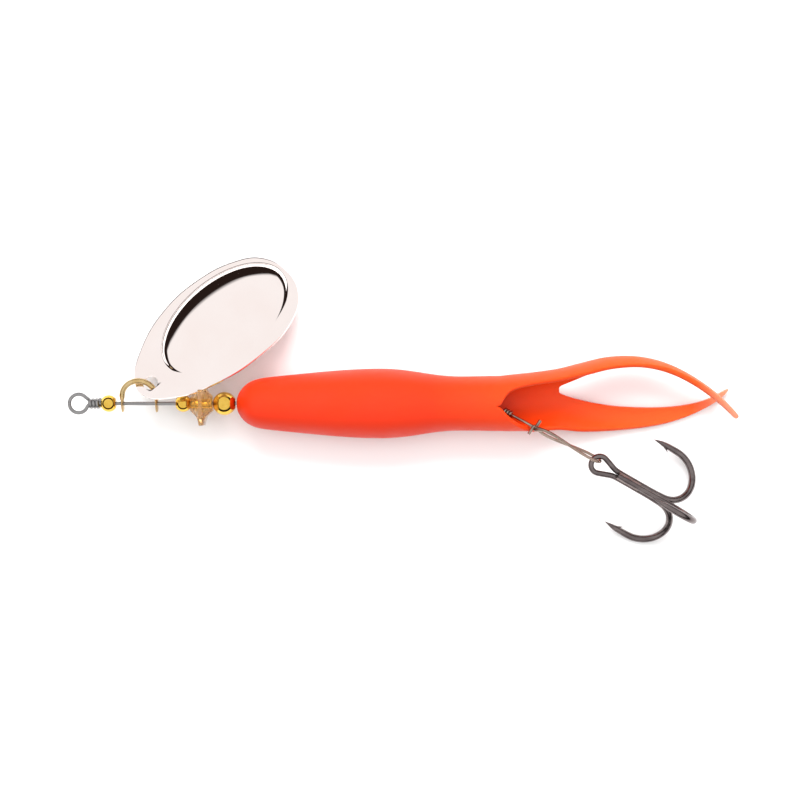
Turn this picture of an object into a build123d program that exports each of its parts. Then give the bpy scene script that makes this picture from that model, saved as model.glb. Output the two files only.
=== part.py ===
from build123d import *
import math
import os

# An inline spinner lying on a table. The origin is the centre of the line-tie eye on the shaft's axis,
# +X runs along the shaft towards the tail, +Y is the side the blade lies on and +Z is up. Millimetres.
os.makedirs("parts", exist_ok=True)

SHAFT_AXIS = Axis.X


def rod(start, end, radius):
    """A round bar between two points."""
    line = Line(start, end)
    return sweep(Plane(origin=line @ 0, z_dir=line % 0) * Circle(radius), path=line)


def bent_wire(path, radius):
    """A round wire whose centre follows a smooth path."""
    return sweep(Plane(origin=path @ 0, z_dir=path % 0) * Circle(radius), path=path)


def along_shaft(radius, start, end):
    """A round bar or cutter on the shaft's axis."""
    return Plane(origin=(start, 0, 0), z_dir=(1, 0, 0)) * extrude(Circle(radius), end - start)


def bead(middle, radius, half_length, bore_radius):
    """A ball with flat ends and a hole for the shaft."""
    ball = Pos(middle, 0, 0) * Sphere(radius)
    slab = Pos(middle, 0, 0) * Box(2 * half_length, 3 * radius, 3 * radius)
    return (ball & slab) - along_shaft(bore_radius, middle - radius, middle + radius)


# The shaft: one stainless wire with the line-tie eye and its wraps in front, and a second eye and its
# wraps behind, hidden in the rubber tail.
WIRE_RADIUS = 0.36
RUNNING_GAP = 0.06
SHAFT_BORE = WIRE_RADIUS + RUNNING_GAP
EYE_RING_RADIUS = 1.87
REAR_EYE_X = 82.1
REAR_RING_RADIUS = 1.5
WRAP_PITCH = 0.74
WRAP_RADIUS = 2 * WIRE_RADIUS - 0.01
FRONT_WRAP_X = 1.95
FRONT_WRAP_LENGTH = 3 * WRAP_PITCH
REAR_WRAP_END_X = 80.4
REAR_WRAP_LENGTH = 3 * WRAP_PITCH


def wraps(start_x, length):
    """The wire's own turns, wound round the shaft."""
    turns = Helix(WRAP_PITCH, length, WRAP_RADIUS, center=(start_x, 0, 0), direction=(1, 0, 0))
    section = Plane(origin=turns @ 0, z_dir=turns % 0) * Circle(WIRE_RADIUS)
    return sweep(section, path=turns, is_frenet=True)


front_eye = Torus(EYE_RING_RADIUS, WIRE_RADIUS)
rear_eye = Pos(REAR_EYE_X, 0, 0) * Torus(REAR_RING_RADIUS, WIRE_RADIUS)
stem = along_shaft(WIRE_RADIUS, EYE_RING_RADIUS, REAR_EYE_X - REAR_RING_RADIUS)
shaft_wire = stem + front_eye + rear_eye
shaft_wire += wraps(FRONT_WRAP_X, FRONT_WRAP_LENGTH)
shaft_wire += wraps(REAR_WRAP_END_X - REAR_WRAP_LENGTH, REAR_WRAP_LENGTH)
export_step(shaft_wire, "parts/shaft_wire.step")

# The three loose gold beads.
SMALL_BEAD_RADIUS = 1.7
SMALL_BEAD_HALF = 1.45
FRONT_BEAD_X = 6.03
MIDDLE_BEAD_X = 20.94
REAR_BEAD_X = 29.16
REAR_BEAD_RADIUS = 2.35
REAR_BEAD_HALF = 2.2

front_bead = bead(FRONT_BEAD_X, SMALL_BEAD_RADIUS, SMALL_BEAD_HALF, SHAFT_BORE)
export_step(front_bead, "parts/front_bead.step")
middle_bead = bead(MIDDLE_BEAD_X, SMALL_BEAD_RADIUS, SMALL_BEAD_HALF, SHAFT_BORE)
export_step(middle_bead, "parts/middle_bead.step")
rear_bead = bead(REAR_BEAD_X, REAR_BEAD_RADIUS, REAR_BEAD_HALF, SHAFT_BORE)
export_step(rear_bead, "parts/rear_bead.step")

# The clevis: a brass wire bent to a U. Its two ends are flattened to ears that turn on the shaft. It is
# drawn upright in the plane Z = 0 and then leant over about the shaft.
CLEVIS_WIRE_RADIUS = 0.535
CLEVIS_ARC_RADIUS = 3.4
CLEVIS_MIDDLE_X = 12.2
CLEVIS_ARC_HEIGHT = 1.565
CLEVIS_LEAN = 25.0
EAR_RADIUS = 1.65
EAR_THICKNESS = 0.54
EAR_NECK_HEIGHT = 1.2
EAR_NECK_WIDTH = 1.3

clevis_arc = CenterArc((CLEVIS_MIDDLE_X, CLEVIS_ARC_HEIGHT), CLEVIS_ARC_RADIUS, 0, 180)
clevis = bent_wire(clevis_arc, CLEVIS_WIRE_RADIUS)
for side in (-1, 1):
    leg_x = CLEVIS_MIDDLE_X + side * CLEVIS_ARC_RADIUS
    clevis += Pos(leg_x, CLEVIS_ARC_HEIGHT, 0) * Sphere(CLEVIS_WIRE_RADIUS + 0.01)
    clevis += along_shaft(EAR_RADIUS, leg_x - EAR_THICKNESS / 2, leg_x + EAR_THICKNESS / 2)
    clevis += Pos(leg_x, EAR_NECK_HEIGHT, 0) * Box(EAR_THICKNESS, EAR_NECK_HEIGHT, EAR_NECK_WIDTH)
ear_reach = CLEVIS_ARC_RADIUS + EAR_THICKNESS
clevis -= along_shaft(SHAFT_BORE, CLEVIS_MIDDLE_X - ear_reach, CLEVIS_MIDDLE_X + ear_reach)
clevis = Rot(CLEVIS_LEAN, 0, 0) * clevis
export_step(clevis, "parts/clevis.step")

# The blade: an egg-shaped pressed sheet with a flat rim, a raised oval dish and a hole for the clevis.
# It is drawn flat with its long axis along X and the clevis wire at the origin, then laid on its own plane:
# the wide end rests on the table and the long edge on the hub.
BLADE_THICKNESS = 0.6
BLADE_HOLE_RADIUS = 1.5
BLADE_HOLE_CENTRE = (0.33, 0.28)
WIRE_IN_HOLE_ANGLE = 45.0
BLADE_SLOPE_X = 0.1365
BLADE_SLOPE_Y = -0.418
BLADE_TURN = 41.6
BLADE_OUTLINE = [
    (-2.5, -0.4),
    (-1.6, 3.0),
    (3.7, 7.5),
    (12.4, 10.8),
    (21.8, 11.1),
    (29.7, 8.9),
    (34.0, 5.7),
    (35.8, -0.2),
    (34.1, -6.2),
    (29.0, -9.8),
    (20.6, -10.9),
    (8.4, -8.8),
    (1.9, -5.6),
]
DISH_CENTRE = (20.0, 0.35)
DISH_HALF_LENGTH = 16.6
DISH_HALF_WIDTH = 10.2
DISH_DEPTH = 4.0
DISH_SUNK = 1.5

half_sheet = BLADE_THICKNESS / 2
sheet = Pos(0, 0, -half_sheet) * extrude(make_face(Spline(*BLADE_OUTLINE, periodic=True)), BLADE_THICKNESS)
dish_place = Pos(DISH_CENTRE[0], DISH_CENTRE[1], -DISH_SUNK)
above_sheet_back = Pos(DISH_CENTRE[0], DISH_CENTRE[1], DISH_DEPTH - half_sheet) * Box(
    3 * DISH_HALF_LENGTH, 3 * DISH_HALF_WIDTH, 2 * DISH_DEPTH
)
dish_outside = dish_place * scale(Sphere(1), by=(DISH_HALF_LENGTH, DISH_HALF_WIDTH, DISH_DEPTH))
dish_inside = dish_place * scale(
    Sphere(1),
    by=(
        DISH_HALF_LENGTH - BLADE_THICKNESS,
        DISH_HALF_WIDTH - BLADE_THICKNESS,
        DISH_DEPTH - BLADE_THICKNESS,
    ),
)
blade = sheet + (dish_outside & above_sheet_back) - dish_inside
blade -= Pos(BLADE_HOLE_CENTRE[0], BLADE_HOLE_CENTRE[1], -1) * extrude(Circle(BLADE_HOLE_RADIUS), 2)

lean = math.radians(CLEVIS_LEAN)
wire_angle = math.radians(WIRE_IN_HOLE_ANGLE)
wire_height = CLEVIS_ARC_HEIGHT + CLEVIS_ARC_RADIUS * math.cos(wire_angle)
wire_in_hole = Vector(
    CLEVIS_MIDDLE_X + CLEVIS_ARC_RADIUS * math.sin(wire_angle),
    wire_height * math.cos(lean),
    wire_height * math.sin(lean),
)
blade_normal = Vector(-BLADE_SLOPE_X, -BLADE_SLOPE_Y, 1).normalized()
turn = math.radians(BLADE_TURN)
blade_length_way = Vector(
    math.cos(turn),
    math.sin(turn),
    BLADE_SLOPE_X * math.cos(turn) + BLADE_SLOPE_Y * math.sin(turn),
).normalized()
blade = Plane(origin=wire_in_hole, x_dir=blade_length_way, z_dir=blade_normal) * blade
export_step(blade, "parts/blade.step")

# The finned hub: one moulding in clear amber plastic, a round boss with four fins, on a short brass tube
# that turns on the shaft.
HUB_MIDDLE_X = 24.68
HUB_HALF_LENGTH = 2.2
HUB_BOSS_RADIUS = 1.7
FIN_HALF_WIDTH = 2.28
FIN_TIP_RADIUS = 4.4
FIN_TIP_HALF = 0.38
FIN_END_RADIUS = 1.4
FIN_SHOULDER_HALF = 0.95
FIN_SHOULDER_RADIUS = 2.6
FIN_NECK_HALF = 0.6
FIN_NECK_RADIUS = 3.4
BUSHING_RADIUS = 0.87
BUSHING_START_X = 23.05
BUSHING_END_X = 26.3

fin_outline = make_face(
    Polyline(
        (-HUB_HALF_LENGTH, 0),
        (-HUB_HALF_LENGTH, FIN_END_RADIUS),
        (-FIN_SHOULDER_HALF, FIN_SHOULDER_RADIUS),
        (-FIN_NECK_HALF, FIN_NECK_RADIUS),
        (-FIN_TIP_HALF, FIN_TIP_RADIUS),
        (FIN_TIP_HALF, FIN_TIP_RADIUS),
        (FIN_NECK_HALF, FIN_NECK_RADIUS),
        (FIN_SHOULDER_HALF, FIN_SHOULDER_RADIUS),
        (HUB_HALF_LENGTH, FIN_END_RADIUS),
        (HUB_HALF_LENGTH, 0),
        close=True,
    )
)
fin = Pos(HUB_MIDDLE_X, 0, -FIN_HALF_WIDTH) * extrude(fin_outline, 2 * FIN_HALF_WIDTH)
boss = along_shaft(HUB_BOSS_RADIUS, HUB_MIDDLE_X - HUB_HALF_LENGTH, HUB_MIDDLE_X + HUB_HALF_LENGTH)
finned_hub = boss
for quarter in range(4):
    finned_hub += Rot(90 * quarter, 0, 0) * fin
finned_hub -= along_shaft(SHAFT_BORE, HUB_MIDDLE_X - 3, HUB_MIDDLE_X + 3)
finned_hub -= along_shaft(BUSHING_RADIUS, BUSHING_START_X, BUSHING_END_X)
export_step(finned_hub, "parts/finned_hub.step")

hub_bushing = along_shaft(BUSHING_RADIUS, BUSHING_START_X, BUSHING_END_X)
hub_bushing -= along_shaft(SHAFT_BORE, BUSHING_START_X - 1, BUSHING_END_X + 1)
export_step(hub_bushing, "parts/hub_bushing.step")

# The rubber sleeve and the brass weight inside it share one outline, a wall's thickness apart.
RUBBER_WALL = 1.0
SLEEVE_NOSE_X = 31.62
NOSE_OUTLINE = [(31.72, 1.1), (32.5, 2.5), (34.0, 4.3), (36.4, 5.2), (42.5, 5.7), (52.5, 6.68)]
BELLY_OUTLINE = [(59.9, 7.03), (65.4, 6.7), (71.0, 5.8), (74.5, 5.44), (84.0, 5.54)]
SLEEVE_NOSE_HOLE = 0.6
WEIGHT_END_X = 72.5
TUBE_RADIUS = 5.54
SLIT_START_X = 84.0

outline = NOSE_OUTLINE + BELLY_OUTLINE
skin_line = Spline(*outline)
skin = make_face(
    skin_line
    + Line(outline[-1], (SLIT_START_X, 0))
    + Line((SLIT_START_X, 0), (SLEEVE_NOSE_X, 0))
    + Line((SLEEVE_NOSE_X, 0), (SLEEVE_NOSE_X, 0.9))
    + Line((SLEEVE_NOSE_X, 0.9), outline[0])
)
closed_sleeve = revolve(skin, axis=SHAFT_AXIS)
CAVITY_OUTLINE = [(32.6, 0.9), (33.5, 2.5), (34.9, 3.5), (36.9, 4.2), (42.6, 4.71), (52.6, 5.69)]
CAVITY_BELLY = [(59.9, 6.03), (65.3, 5.7), (71.0, 4.8), (74.5, 4.44), (84.0, 4.54)]
cavity_line = CAVITY_OUTLINE + CAVITY_BELLY
cavity = revolve(
    make_face(
        Spline(*cavity_line)
        + Line(cavity_line[-1], (SLIT_START_X, 0))
        + Line((SLIT_START_X, 0), (cavity_line[0][0], 0))
        + Line((cavity_line[0][0], 0), cavity_line[0])
    ),
    axis=SHAFT_AXIS,
)
closed_sleeve -= cavity
closed_sleeve -= along_shaft(SLEEVE_NOSE_HOLE, SLEEVE_NOSE_X - 1, cavity_line[0][0] + 1)

weight_room = Pos((cavity_line[0][0] + WEIGHT_END_X) / 2, 0, 0) * Box(
    WEIGHT_END_X - cavity_line[0][0], 20, 20
)
body_weight = cavity & weight_room
body_weight -= along_shaft(SHAFT_BORE, SLEEVE_NOSE_X, WEIGHT_END_X + 1)
export_step(body_weight, "parts/body_weight.step")

# Behind X = 84 the tube opens: a slit on the upper side widens until the tube is an open C, and from a
# notch at X = 96.7 the C runs on as two curling strips.
NOTCH_X = 96.7
NOTCH_Y = 0.62
NOTCH_RADIUS = 6.5
STEP_IN = 0.04


def round_section(x, y, radius):
    """One round section of the open tube."""
    return Plane(origin=(x, y, 0), x_dir=(0, 1, 0), z_dir=(1, 0, 0)) * Circle(radius)


SPREAD_SECTIONS = [(SLIT_START_X, 0, TUBE_RADIUS - 0.02), (90.5, 0.2, 5.98), (NOTCH_X, NOTCH_Y, NOTCH_RADIUS)]
open_tube = loft([round_section(*section) for section in SPREAD_SECTIONS])
open_tube -= loft([round_section(x, y, radius - RUBBER_WALL + 0.03) for x, y, radius in SPREAD_SECTIONS])


def wedge(x, start_angle, end_angle):
    """One section of the slit's cutter, an open fan about the shaft."""
    reach = 12
    middle = (start_angle + end_angle) / 2
    corners = [(0, 0)]
    for angle in (start_angle, (start_angle + middle) / 2, middle, (middle + end_angle) / 2, end_angle):
        corners.append((reach * math.cos(math.radians(angle)), reach * math.sin(math.radians(angle))))
    place = Plane(origin=(x, 0, 0), x_dir=(0, 1, 0), z_dir=(1, 0, 0))
    return place * make_face(Polyline(*corners, close=True))


slit_sections = [
    wedge(84.3, 90, 104),
    wedge(85.4, 66, 110),
    wedge(87.5, 57, 126),
    wedge(90.5, 52, 176),
    wedge(92.7, 50, 194),
    wedge(NOTCH_X + 0.5, 46, 202),
]
open_tube -= loft(slit_sections, ruled=True)


def strip_section(spot, heading, radius, wall, start_angle, end_angle):
    """One section across a strip: a piece of a ring, its ends square to the ring."""
    turned = math.radians(heading)
    way = (math.cos(turned), math.sin(turned), 0)
    outward = (-math.sin(turned), math.cos(turned), 0)
    place = Plane(origin=spot, x_dir=outward, z_dir=way)
    outer = CenterArc((0, 0), radius, start_angle, end_angle - start_angle)
    inner = CenterArc((0, 0), radius - wall, start_angle, end_angle - start_angle)
    sides = Line(outer @ 0, inner @ 0) + Line(outer @ 1, inner @ 1)
    return place * make_face(outer + inner + sides)


def on_silhouette(x, y, z, heading, radius):
    """The centre of a section whose outermost point is over (x, y)."""
    turned = math.radians(heading)
    return (x + radius * math.sin(turned), y - radius * math.cos(turned), z)


root_radius = NOTCH_RADIUS - STEP_IN
root_wall = RUBBER_WALL - 3 * STEP_IN
upper_sections = [
    strip_section((NOTCH_X, NOTCH_Y, 0), 0, root_radius, root_wall, -58, 48),
    strip_section(on_silhouette(101, 8.2, -0.4, 12, 6.0), 12, 6.0, 1.0, -52, 52),
    strip_section(on_silhouette(106, 9.35, -1.1, 6, 5.5), 6, 5.5, 1.0, -50, 52),
    strip_section(on_silhouette(111, 9.62, -1.6, -3, 5.5), -3, 5.5, 1.0, -46, 49),
    strip_section(on_silhouette(116, 8.7, -1.9, -17, 5.4), -17, 5.4, 0.95, -38, 41),
    strip_section(on_silhouette(121, 6.6, -2.1, -28, 5.2), -28, 5.2, 0.9, -28, 32),
    strip_section(on_silhouette(126.4, 3.2, -2.3, -37, 5.0), -37, 5.0, 0.85, -24, 28),
    strip_section(on_silhouette(131.4, -1.7, -2.6, -48, 5.0), -48, 5.0, 0.8, -15, 18),
]
upper_strip = loft(upper_sections)
lower_sections = [
    strip_section((NOTCH_X, NOTCH_Y, 0), 0, root_radius, root_wall, 205, 283),
    strip_section((102, -1.2, -0.95), -4, 5.7, 1.0, 214, 287),
    strip_section((107, -2.4, -1.65), -2, 5.2, 1.0, 231, 292),
    strip_section((112, -2.9, -1.9), 1, 5.0, 1.0, 242, 295),
    strip_section((117.4, -2.8, -1.95), 6, 5.0, 0.9, 250, 290),
    strip_section((122, -2.0, -1.95), 15, 5.0, 0.8, 257, 283),
    strip_section((126, -0.7, -1.95), 23, 5.0, 0.75, 262, 278),
    strip_section((130.2, 1.35, -1.95), 30, 5.0, 0.7, 265, 275),
]
lower_strip = loft(lower_sections)

rubber_sleeve = closed_sleeve + open_tube
rubber_sleeve += upper_strip
rubber_sleeve += lower_strip
export_step(rubber_sleeve, "parts/rubber_sleeve.step")

# The snap link: one hard wire with an eye and wraps on the shaft's rear eye, a long stem, two ends that
# hook across it, and a long narrow loop that holds the hook's eye. It stands on edge.
SNAP_WIRE_RADIUS = 0.28
SNAP_HEADING = -27.7
SNAP_RISE = 6.5
SNAP_EYE_AT = 1.8
SNAP_EYE_RADIUS = 1.3
SNAP_WRAP_START = 3.6
SNAP_WRAP_RADIUS = 0.5
SNAP_WRAP_COUNT = 3
SNAP_WRAP_PITCH = 0.5
SNAP_LOCK_AT = 10.2
SNAP_BELLY_AT = 13.4
SNAP_HALF_HEIGHT = 1.6
SNAP_END_AT = 23.5
SNAP_END_RADIUS = 1.35
SNAP_PIN_OUT = 1.5
SNAP_PINCH = 0.3

heading = math.radians(SNAP_HEADING)
rise = math.radians(SNAP_RISE)
snap_way = Vector(math.cos(heading) * math.cos(rise), math.sin(heading) * math.cos(rise), math.sin(rise))
snap_side = Vector(math.sin(heading), -math.cos(heading), 0)
snap_plane = Plane(origin=(REAR_EYE_X, 0, 0), x_dir=snap_way, z_dir=snap_side)

snap = Pos(SNAP_EYE_AT, 0, 0) * Torus(SNAP_EYE_RADIUS, SNAP_WIRE_RADIUS)
stem_start = SNAP_EYE_AT + SNAP_EYE_RADIUS
snap += rod((stem_start, 0, 0), (SNAP_LOCK_AT + 0.6, 0, 0), SNAP_WIRE_RADIUS)
for wrap in range(SNAP_WRAP_COUNT):
    wrap_at = SNAP_WRAP_START + wrap * SNAP_WRAP_PITCH
    snap += Pos(wrap_at, 0, 0) * (Rot(0, 90, 0) * Torus(SNAP_WRAP_RADIUS, SNAP_WIRE_RADIUS))
loop_path = Spline(
    (SNAP_LOCK_AT, SNAP_PINCH, 0),
    (SNAP_BELLY_AT, SNAP_HALF_HEIGHT, 0),
    (SNAP_END_AT, SNAP_END_RADIUS, 0),
    (SNAP_END_AT + SNAP_END_RADIUS, 0, 0),
    (SNAP_END_AT, -SNAP_END_RADIUS, 0),
    (SNAP_BELLY_AT, -SNAP_HALF_HEIGHT, 0),
    (SNAP_LOCK_AT, -SNAP_PINCH, 0),
)
snap += bent_wire(loop_path, SNAP_WIRE_RADIUS)
pin_middle = SNAP_LOCK_AT + 0.2
snap += rod((pin_middle - 0.3, 0.1, SNAP_PIN_OUT), (pin_middle, 0, -SNAP_PIN_OUT), SNAP_WIRE_RADIUS + 0.02)
snap_link = snap_plane * snap
export_step(snap_link, "parts/snap_link.step")

# The treble hook: two side hooks and the eye bent from one wire, a third hook on top of their shanks and
# the braze that joins them. It is drawn with the eye's centre at the origin and the shank along +X.
HOOK_WIRE_RADIUS = 0.55
TREBLE_EYE = (103.85, -12.15, 2.45)
TREBLE_HEADING = -29.5
TREBLE_DROP = 12.0
TREBLE_ROLL = 4.0
HOOK_EYE_RADIUS = 1.7
JOINT_SWELL = 0.03
SHANK_START = 4.2
SIDE_SHANK_HEIGHT = 0.65
EYE_OPENING = 75.0
BEND_CENTRE_AT = 14.5
GAP = 11.4
POINT_START_AT = 11.6
POINT_AT = 9.2
POINT_LEAN = 0.06
POINT_TIP_RADIUS = 0.04
BARB_ROOT_AT = 10.4
BARB_TIP_AT = 11.95
BARB_HEIGHT = 1.0
BARB_HALF_WIDTH = 0.12
THIRD_HOOK_START = 4.2
THIRD_SHANK_HEIGHT = 0.67
SIDE_HOOK_ANGLE = -30.0


def hook_path(shank_start, shank_height):
    """The wire's centre line in the plane Y = 0: shank along +X, bend upwards, leg back towards the eye."""
    radius = (GAP - shank_height) / 2
    bend_plane = Plane(origin=(BEND_CENTRE_AT, 0, shank_height + radius), x_dir=(1, 0, 0), z_dir=(0, -1, 0))
    return [
        Line((shank_start, 0, shank_height), (BEND_CENTRE_AT, 0, shank_height)),
        bend_plane * CenterArc((0, 0), radius, -90, 180),
        Line((BEND_CENTRE_AT, 0, GAP), (POINT_START_AT, 0, GAP)),
    ]


def hook_point():
    """The tapered point and its barb, at the end of the leg."""
    point_length = POINT_START_AT - POINT_AT
    point = Plane(origin=(POINT_START_AT, 0, GAP), z_dir=(-1, 0, -POINT_LEAN)) * (
        Pos(0, 0, point_length / 2) * Cone(HOOK_WIRE_RADIUS - JOINT_SWELL, POINT_TIP_RADIUS, point_length)
    )
    barb = Plane.XZ * make_face(
        Polyline(
            (BARB_ROOT_AT, GAP),
            (BARB_TIP_AT, GAP - BARB_HEIGHT),
            (BARB_TIP_AT - 0.1, GAP),
            close=True,
        )
    )
    shoulder = Pos(POINT_START_AT, 0, GAP) * Sphere(HOOK_WIRE_RADIUS + JOINT_SWELL)
    return shoulder + point + extrude(barb, BARB_HALF_WIDTH, both=True)


right_turn = Rot(90 - SIDE_HOOK_ANGLE, 0, 0)
left_turn = Rot(-90 + SIDE_HOOK_ANGLE, 0, 0)
right_path = [right_turn * edge for edge in hook_path(SHANK_START, SIDE_SHANK_HEIGHT)]
left_path = [left_turn * edge for edge in hook_path(SHANK_START, SIDE_SHANK_HEIGHT)]
eye_arc = CenterArc((0, 0), HOOK_EYE_RADIUS, EYE_OPENING, 360 - 2 * EYE_OPENING)
shank_tangent = Vector(1, 0, 0)
left_neck = Spline(left_path[0] @ 0, eye_arc @ 0, tangents=(-shank_tangent, eye_arc % 0))
right_neck = Spline(eye_arc @ 1, right_path[0] @ 0, tangents=(eye_arc % 1, shank_tangent))
double_path = Wire([*left_path, left_neck, eye_arc, right_neck, *right_path])
double_hook = bent_wire(double_path, HOOK_WIRE_RADIUS)
double_hook += right_turn * hook_point()
double_hook += left_turn * hook_point()
third_hook = bent_wire(Wire(hook_path(THIRD_HOOK_START, THIRD_SHANK_HEIGHT)), HOOK_WIRE_RADIUS)
third_hook += hook_point()

BRAZE_START = 4.3
BRAZE_END = 9.5
BRAZE_RADIUS = 0.8
BRAZE_HEIGHT = 0.12

braze = Pos((BRAZE_START + BRAZE_END) / 2, 0, BRAZE_HEIGHT) * (
    Rot(0, 90, 0) * Cylinder(BRAZE_RADIUS, BRAZE_END - BRAZE_START)
)
braze &= Pos(BRAZE_START, 0, 2) * Box(4 * BRAZE_END, 4, 4)
braze -= double_hook
braze -= third_hook

treble_way = math.radians(TREBLE_HEADING)
drop = math.radians(TREBLE_DROP)
shank_way = Vector(
    math.cos(treble_way) * math.cos(drop), math.sin(treble_way) * math.cos(drop), -math.sin(drop)
)
shank_left = Vector(-math.sin(treble_way), math.cos(treble_way), 0)
treble_plane = Plane(origin=TREBLE_EYE, x_dir=shank_way, z_dir=shank_way.cross(shank_left))
treble_place = treble_plane.location * Rot(TREBLE_ROLL, 0, 0)
export_step(treble_place * double_hook, "parts/treble_double_hook.step")
export_step(treble_place * third_hook, "parts/treble_third_hook.step")
export_step(treble_place * braze, "parts/treble_braze.step")
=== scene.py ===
import bpy
import math
from mathutils import Matrix, Vector


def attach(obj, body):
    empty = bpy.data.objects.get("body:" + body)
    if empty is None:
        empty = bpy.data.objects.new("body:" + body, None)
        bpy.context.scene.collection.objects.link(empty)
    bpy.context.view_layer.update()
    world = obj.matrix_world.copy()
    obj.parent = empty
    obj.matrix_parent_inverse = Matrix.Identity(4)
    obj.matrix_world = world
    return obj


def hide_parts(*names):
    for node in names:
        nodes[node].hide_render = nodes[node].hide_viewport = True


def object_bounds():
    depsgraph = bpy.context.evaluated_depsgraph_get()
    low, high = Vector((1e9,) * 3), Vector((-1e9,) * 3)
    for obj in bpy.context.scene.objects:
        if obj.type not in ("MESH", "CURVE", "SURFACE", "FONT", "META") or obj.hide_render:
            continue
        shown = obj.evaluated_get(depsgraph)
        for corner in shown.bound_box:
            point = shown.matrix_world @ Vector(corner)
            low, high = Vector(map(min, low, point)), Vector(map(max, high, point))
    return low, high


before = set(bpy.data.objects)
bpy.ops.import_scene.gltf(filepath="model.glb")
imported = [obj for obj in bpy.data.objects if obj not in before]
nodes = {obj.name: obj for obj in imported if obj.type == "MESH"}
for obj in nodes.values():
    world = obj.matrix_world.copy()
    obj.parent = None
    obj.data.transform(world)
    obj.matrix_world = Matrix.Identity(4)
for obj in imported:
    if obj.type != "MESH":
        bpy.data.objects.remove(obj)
cad_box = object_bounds()
MM = 0.001


# ---- shaft wire ---------------------------------------------------------------------------------------
# One hard stainless wire. Each end is bent round into an eye and wound three times on itself, so the
# wire is drawn as one route from the front wraps to the rear wraps and given its thickness.
SHAFT_RADIUS = 0.38
FRONT_EYE_RADIUS = 1.87
REAR_EYE_X = 82.1
REAR_EYE_RADIUS = 1.5
SHAFT_TURNS = 3
TURN_PITCH = 0.68
TURN_STEPS = 12
EYE_STEPS = 24
EYE_OPENING = -40
EYE_SWEEP = 280
WRAP_START_TURN = 30
WRAP_GAP = 0.42


def select_only(piece):
    bpy.ops.object.select_all(action="DESELECT")
    piece.select_set(True)
    bpy.context.view_layer.objects.active = piece


def bend_wire(name, route, radius, tapers=None, sides=8):
    """A round wire along a route of points in millimetres. tapers gives each point's share of the radius."""
    bpy.ops.object.select_all(action="DESELECT")
    bpy.ops.curve.primitive_nurbs_path_add()
    wire = bpy.context.object
    wire.name = name
    line = wire.data.splines[0]
    line.points.add(len(route) - len(line.points))
    for index, spot in enumerate(route):
        line.points[index].co = (*(Vector(spot) * MM), 1)
        line.points[index].radius = tapers[index] if tapers else 1
    line.order_u = 3
    line.use_endpoint_u = True
    wire.data.resolution_u = 3
    wire.data.bevel_depth = radius * MM
    wire.data.bevel_resolution = sides // 2
    wire.data.use_fill_caps = True
    bpy.ops.object.convert(target="MESH")
    bpy.ops.object.shade_smooth()
    return bpy.context.object


def eye_route(eye_x, eye_radius, way):
    """From the straight wire, round the eye and up to the end of the wraps. way is -1 in front, 1 behind."""
    route = [(eye_x - way * 7.5, 0, 0), (eye_x - way * 4, 0, 0), (eye_x - way * 2.5, 0, 0)]
    route.append((eye_x - way * (eye_radius + 0.1), -0.2, -0.1))
    for step in range(EYE_STEPS + 1):
        turn = math.radians(EYE_OPENING - step * EYE_SWEEP / EYE_STEPS)
        route.append((eye_x - way * eye_radius * math.cos(turn), eye_radius * math.sin(turn), 0))
    start = eye_x - way * (eye_radius + WRAP_GAP)
    for step in range(SHAFT_TURNS * TURN_STEPS):
        turn = math.radians(WRAP_START_TURN + step * 360 / TURN_STEPS)
        along = start - way * TURN_PITCH * step / TURN_STEPS
        route.append((along, 2 * SHAFT_RADIUS * math.cos(turn), 2 * SHAFT_RADIUS * math.sin(turn)))
    return route


front_route = eye_route(0, FRONT_EYE_RADIUS, -1)
rear_route = eye_route(REAR_EYE_X, REAR_EYE_RADIUS, 1)
shaft = bend_wire("shaft_wire_bent", front_route[::-1] + rear_route, SHAFT_RADIUS)
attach(shaft, "shaft")
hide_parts("shaft_wire")


def coated(name, colours, metallic, roughness, grain, stretch=(1, 1, 1), bump=0.15, step=0.00002):
    """A finish whose colour and gloss wander a little: colours is (dark, light), roughness (low, high)."""
    finish = bpy.data.materials.new(name)
    finish.use_nodes = True
    tree = finish.node_tree
    shader = tree.nodes["Principled BSDF"]
    shader.inputs["Metallic"].default_value = metallic
    place = tree.nodes.new("ShaderNodeTexCoord")
    turn = tree.nodes.new("ShaderNodeMapping")
    turn.inputs["Scale"].default_value = stretch
    cloud = tree.nodes.new("ShaderNodeTexNoise")
    cloud.inputs["Scale"].default_value = grain
    cloud.inputs["Detail"].default_value = 5
    tree.links.new(place.outputs["Object"], turn.inputs["Vector"])
    tree.links.new(turn.outputs["Vector"], cloud.inputs["Vector"])
    tint = tree.nodes.new("ShaderNodeValToRGB")
    tint.color_ramp.elements[0].position = 0.3
    tint.color_ramp.elements[0].color = (*colours[0], 1)
    tint.color_ramp.elements[1].position = 0.7
    tint.color_ramp.elements[1].color = (*colours[1], 1)
    tree.links.new(cloud.outputs["Fac"], tint.inputs["Fac"])
    tree.links.new(tint.outputs["Color"], shader.inputs["Base Color"])
    gloss = tree.nodes.new("ShaderNodeMapRange")
    gloss.inputs["From Min"].default_value = 0.3
    gloss.inputs["From Max"].default_value = 0.7
    gloss.inputs["To Min"].default_value = roughness[0]
    gloss.inputs["To Max"].default_value = roughness[1]
    tree.links.new(cloud.outputs["Fac"], gloss.inputs["Value"])
    tree.links.new(gloss.outputs["Result"], shader.inputs["Roughness"])
    relief = tree.nodes.new("ShaderNodeBump")
    relief.inputs["Strength"].default_value = bump
    relief.inputs["Distance"].default_value = step
    tree.links.new(cloud.outputs["Fac"], relief.inputs["Height"])
    tree.links.new(relief.outputs["Normal"], shader.inputs["Normal"])
    return finish


def paint(piece, finish):
    piece.data.materials.clear()
    piece.data.materials.append(finish)


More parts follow.
